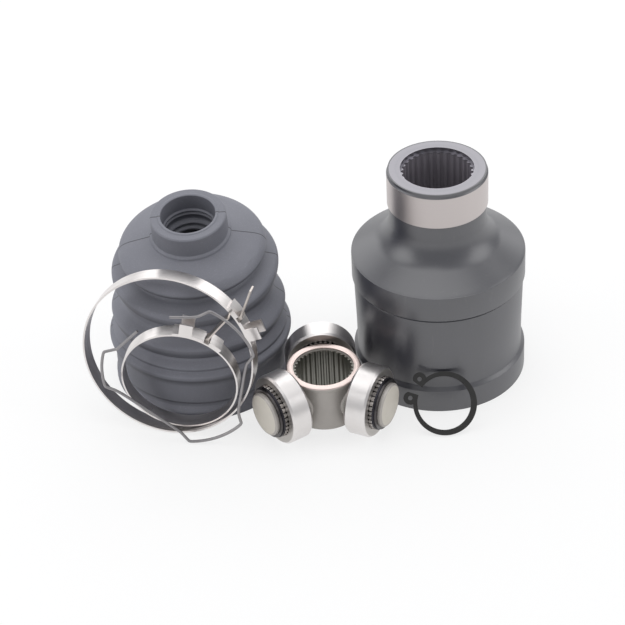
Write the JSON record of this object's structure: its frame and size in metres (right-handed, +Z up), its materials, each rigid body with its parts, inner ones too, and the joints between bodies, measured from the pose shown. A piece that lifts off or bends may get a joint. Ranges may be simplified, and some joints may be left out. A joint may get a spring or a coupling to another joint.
{
  "type": "cv joint",
  "caption": "Inner plunging tripod joint kit: splined tulip housing, tripod with needle rollers, bellows boot, lever clamps, wire ring and circlip, laid out loose",
  "frame": {"origin": "centre of the housing mouth, which stands on the bench", "axes": "+Z up along the housing and its splined neck, +X from the boot towards the housing, +Y away from the clamps"},
  "size_m": [0.2044, 0.1125, 0.1082],
  "materials": {
    "housing_black": "semi-gloss black coating, ground seal land on the neck",
    "plug_steel": "plain pressed sheet",
    "spider_steel": "forged and turned, satin",
    "roller_steel": "ground and polished bearing steel",
    "needle_steel": "polished needles",
    "washer_steel": "bright washer",
    "circlip_black": "black phosphated spring steel",
    "boot_rubber": "matt, fine-grained moulded elastomer",
    "clamp_stainless": "bright rolled stainless strip",
    "spring_steel": "dark drawn spring wire"
  },
  "bodies": {
    "housing": {"outer_housing": "housing_black", "core_plug": "plug_steel"},
    "tripod": {"tripod_spider": "spider_steel", "retainer_washer_1": "washer_steel", "retainer_washer_2": "washer_steel", "retainer_washer_3": "washer_steel", "trunnion_snap_ring_1": "circlip_black", "trunnion_snap_ring_2": "circlip_black", "trunnion_snap_ring_3": "circlip_black"},
    "roller_1": {"roller_1": "roller_steel"},
    "needles_1": {"needle_set_1": "needle_steel"},
    "roller_2": {"roller_2": "roller_steel"},
    "needles_2": {"needle_set_2": "needle_steel"},
    "roller_3": {"roller_3": "roller_steel"},
    "needles_3": {"needle_set_3": "needle_steel"},
    "boot": {"boot": "boot_rubber"},
    "large_clamp": {"large_clamp_band": "clamp_stainless"},
    "large_lever": {"large_clamp_lever": "clamp_stainless"},
    "small_clamp": {"small_clamp_band": "clamp_stainless"},
    "small_lever": {"small_clamp_lever": "clamp_stainless"},
    "wire_ring": {"mouth_wire_ring": "spring_steel"},
    "circlip": {"shaft_circlip": "circlip_black"}
  },
  "joints": [
    {"name": "tripod_slide", "type": "slide", "parent": "housing", "child": "tripod", "axis": [0, -1, 0], "range_m": [0, 0.08]},
    {"name": "roller_spin_1", "type": "hinge", "parent": "tripod", "child": "roller_1", "pos_m": [-0.0563, -0.01652, 0.0166], "axis": [-0.0401, 0.9992, 0], "continuous": true},
    {"name": "needle_orbit_1", "type": "hinge", "parent": "tripod", "child": "needles_1", "pos_m": [-0.0563, -0.01652, 0.0166], "axis": [-0.0401, 0.9992, 0], "continuous": true},
    {"name": "roller_spin_2", "type": "hinge", "parent": "tripod", "child": "roller_2", "pos_m": [-0.07442, -0.05102, 0.0166], "axis": [-0.8453, -0.5344, 0], "continuous": true},
    {"name": "needle_orbit_2", "type": "hinge", "parent": "tripod", "child": "needles_2", "pos_m": [-0.07442, -0.05102, 0.0166], "axis": [-0.8453, -0.5344, 0], "continuous": true},
    {"name": "roller_spin_3", "type": "hinge", "parent": "tripod", "child": "roller_3", "pos_m": [-0.03548, -0.04946, 0.0166], "axis": [0.8854, -0.4648, 0], "continuous": true},
    {"name": "needle_orbit_3", "type": "hinge", "parent": "tripod", "child": "needles_3", "pos_m": [-0.03548, -0.04946, 0.0166], "axis": [0.8854, -0.4648, 0], "continuous": true},
    {"name": "boot_slide", "type": "slide", "parent": "housing", "child": "boot", "axis": [0, 1, 0], "range_m": [0, 0.08]},
    {"name": "large_clamp_slide", "type": "slide", "parent": "housing", "child": "large_clamp", "axis": [-0.35, -0.9367, 0], "range_m": [0, 0.06]},
    {"name": "large_lever_fold", "type": "hinge", "parent": "large_clamp", "child": "large_lever", "pos_m": [-0.09083, -0.04313, 0.06306], "axis": [-0.2563, -0.9565, 0.1392], "range_deg": [-105, 0]},
    {"name": "small_clamp_slide", "type": "slide", "parent": "large_clamp", "child": "small_clamp", "axis": [-0.35, -0.9367, 0], "range_m": [0, 0.06]},
    {"name": "small_lever_fold", "type": "hinge", "parent": "small_clamp", "child": "small_lever", "pos_m": [-0.10629, -0.04648, 0.05431], "axis": [-0.1907, -0.981, -0.0349], "range_deg": [0, 85]},
    {"name": "wire_ring_slide", "type": "slide", "parent": "small_clamp", "child": "wire_ring", "axis": [-0.35, -0.9367, 0], "range_m": [0, 0.06]},
    {"name": "circlip_slide", "type": "slide", "parent": "housing", "child": "circlip", "axis": [0, -1, 0], "range_m": [0, 0.06]}
  ],
  "couplings": [
    {"joint": "needle_orbit_1", "follows": "roller_spin_1", "ratio": 0.5482},
    {"joint": "needle_orbit_2", "follows": "roller_spin_2", "ratio": 0.5482},
    {"joint": "needle_orbit_3", "follows": "roller_spin_3", "ratio": 0.5482}
  ]
}
